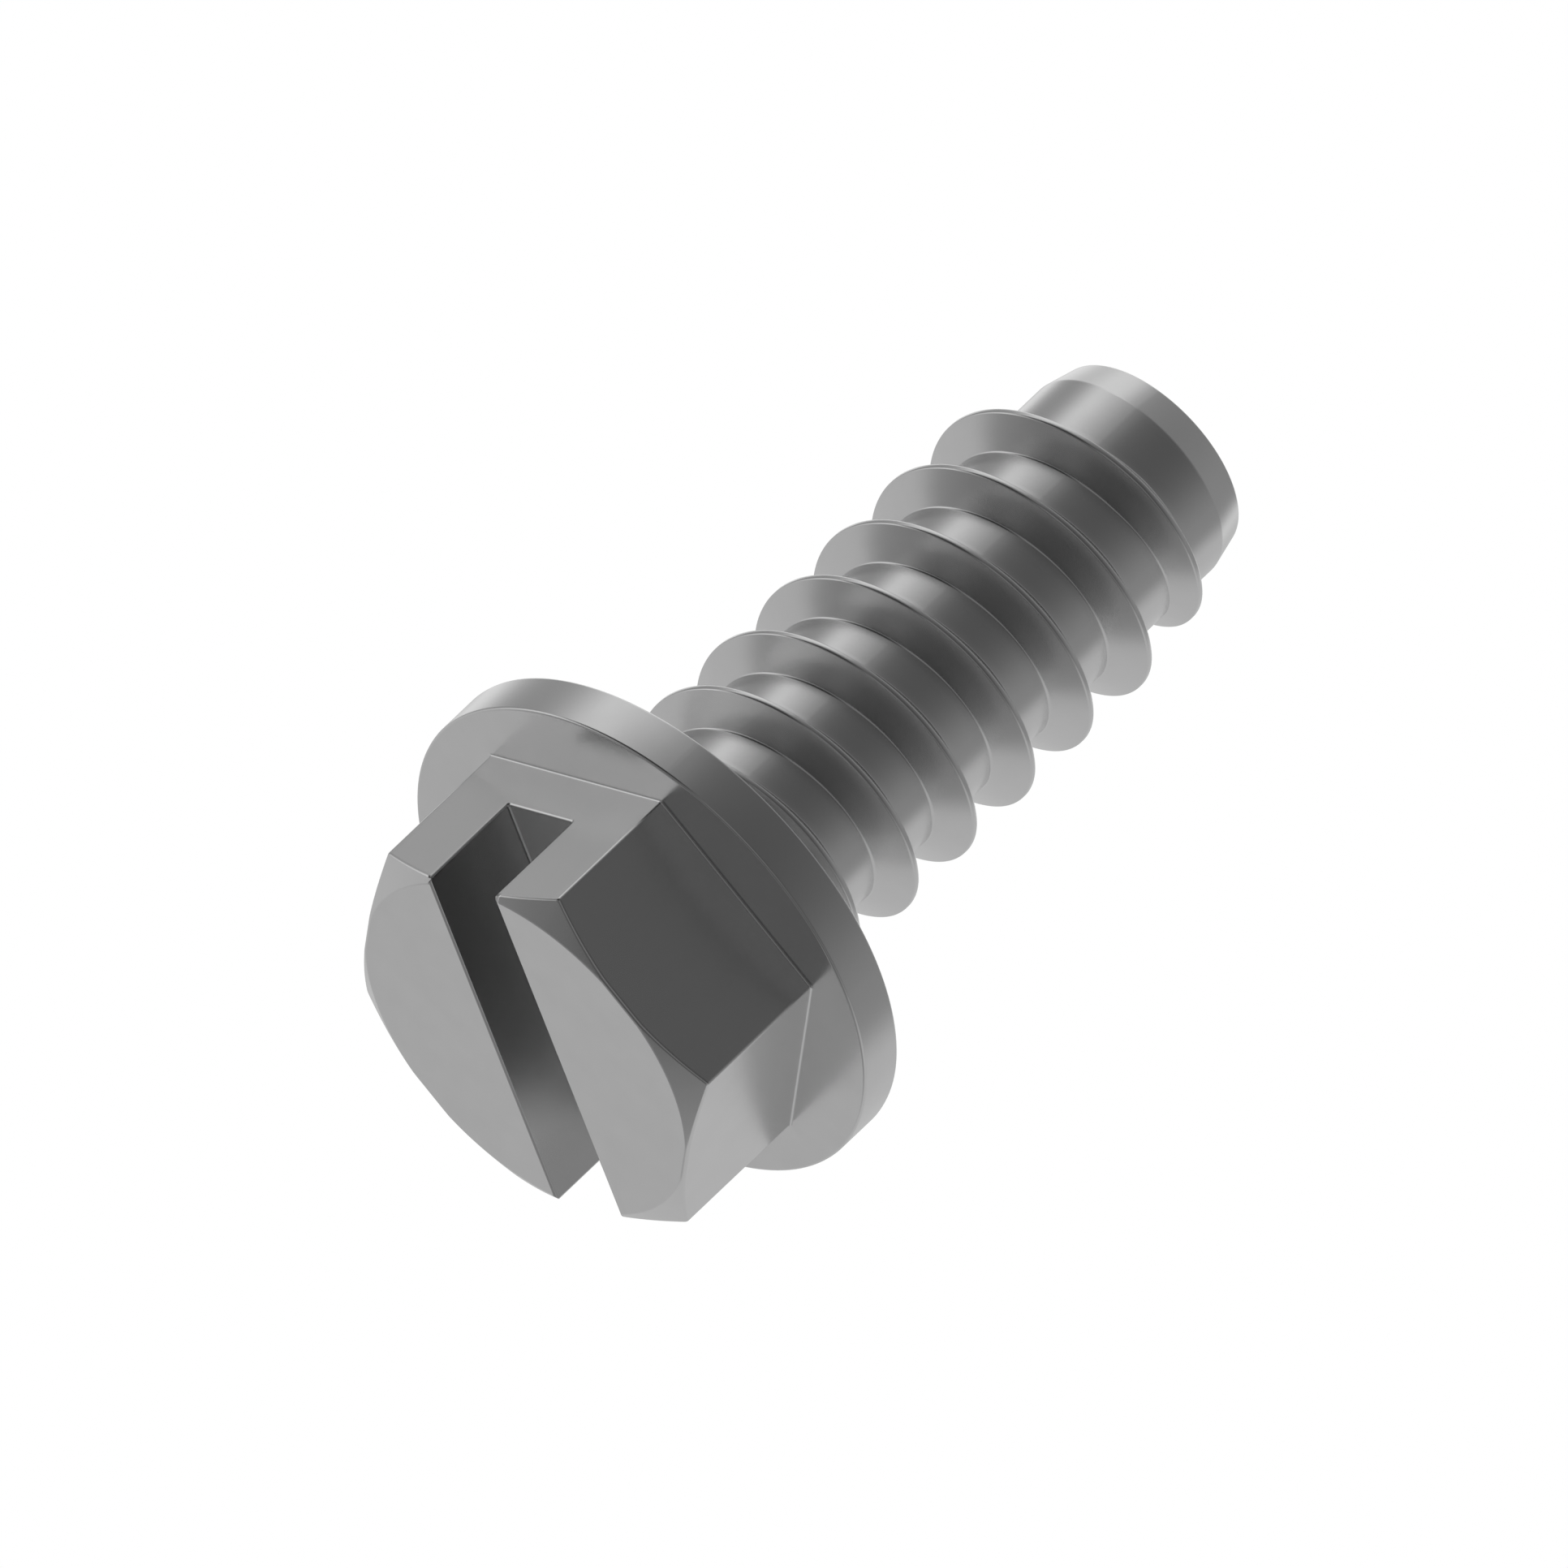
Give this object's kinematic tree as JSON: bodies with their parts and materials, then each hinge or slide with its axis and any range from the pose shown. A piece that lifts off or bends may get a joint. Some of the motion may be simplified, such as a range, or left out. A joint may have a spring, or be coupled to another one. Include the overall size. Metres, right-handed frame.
{
  "type": "sheet metal screw",
  "caption": "Self-tapping sheet metal screw with a slotted hexagon head, a fixed washer flange, a coarse spaced right-hand thread and a blunt tapered tip.",
  "frame": {"origin": "centre of the head's end face, on which the screw stands, on the screw's axis", "axes": "+Z along the screw from head to tip, square to the bearing face; the slot runs along X, between the two flats that face +X and -X"},
  "size_m": [0.0113, 0.0112, 0.0193],
  "materials": {
    "steel": "smooth bright zinc plating on cold headed and thread rolled steel"
  },
  "bodies": {
    "root": {"screw": "steel"}
  },
  "joints": []
}
